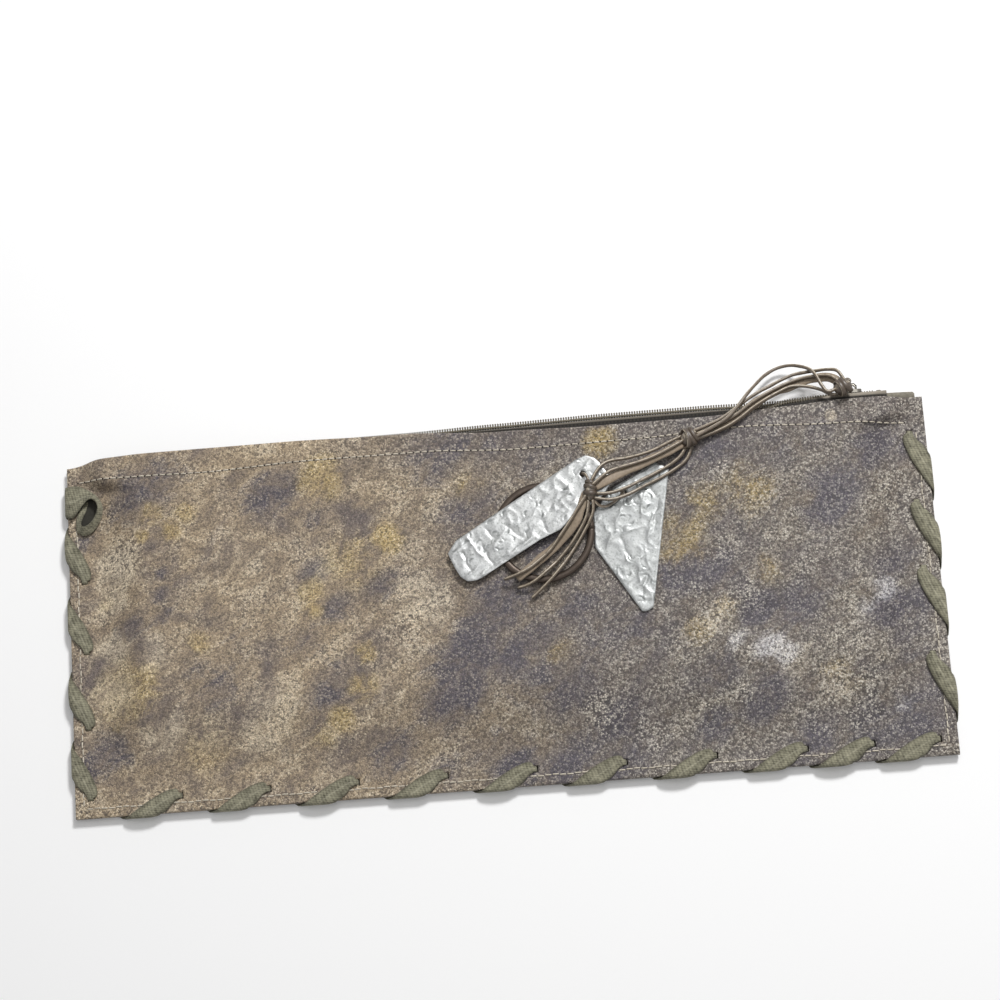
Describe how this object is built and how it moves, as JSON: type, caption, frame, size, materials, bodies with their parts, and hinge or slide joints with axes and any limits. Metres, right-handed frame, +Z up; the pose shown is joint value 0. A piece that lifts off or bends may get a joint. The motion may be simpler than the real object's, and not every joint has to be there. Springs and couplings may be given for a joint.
{
  "type": "laced leather zip pouch with cord tassel",
  "caption": "Flat leather zip pouch lying on its back with its zip open, laced round three edges, with a knotted cord tassel that carries a ring and two hammered metal charms.",
  "frame": {"origin": "centre of the pouch's footprint without the tassel, on the surface that its back lies on", "axes": "+X along the zip towards the closed end, +Y across the pouch towards the zip, +Z up out of the front"},
  "size_m": [0.4116, 0.1908, 0.0225],
  "materials": {
    "crackled_leather": "crackled and distressed, low sheen",
    "back_leather": "plain, low sheen",
    "olive_ribbon": "woven, finely ribbed, matt",
    "zip_tape_cloth": "woven, matt",
    "zip_metal": "antiqued",
    "slider_metal": "antiqued",
    "waxed_cord": "waxed, slight sheen",
    "tan_suede": "suede, matt",
    "ring_bronze": "dark bronzed, soft sheen",
    "charm_metal": "hammered and creased"
  },
  "bodies": {
    "pouch": {"front_panel": "crackled_leather", "back_panel": "back_leather", "edge_lace": "olive_ribbon", "lace_end_loop": "olive_ribbon", "top_stop_front": "zip_metal", "top_stop_back": "zip_metal", "bottom_stop": "zip_metal", "zip_tape_front": "zip_tape_cloth", "zip_tape_back": "zip_tape_cloth", "teeth_row_front": "zip_metal", "teeth_row_back": "zip_metal"},
    "slider": {"slider_body": "slider_metal", "tan_lace_upper": "tan_suede", "tan_lace_middle": "tan_suede", "tan_lace_tail": "tan_suede", "thin_cord_upper_arc": "waxed_cord", "thin_cord_upper_outer": "waxed_cord", "thin_cord_upper_inner": "waxed_cord", "thin_cord_upper_lower": "waxed_cord", "thin_cord_middle_outer": "waxed_cord", "thin_cord_middle_inner": "waxed_cord", "thin_cord_lower_inner": "waxed_cord", "thin_cord_lower_outer": "waxed_cord", "thin_cord_tail_top": "waxed_cord", "thin_cord_tail_middle": "waxed_cord", "thin_cord_tail_long": "waxed_cord", "knot_curl_end": "waxed_cord", "triangle_tie": "waxed_cord", "slider_cord_loop": "waxed_cord", "knot_at_slider": "waxed_cord", "knot_middle": "waxed_cord", "knot_lower": "waxed_cord", "cord_ring": "ring_bronze", "tongue_charm": "charm_metal", "triangle_charm": "charm_metal"}
  },
  "joints": [
    {"name": "zip_slide", "type": "slide", "parent": "pouch", "child": "slider", "axis": [1, 0, 0], "range_m": [-0.3462, 0.0065], "deforming": ["zip_tape_front", "zip_tape_back", "teeth_row_front", "teeth_row_back"]}
  ]
}
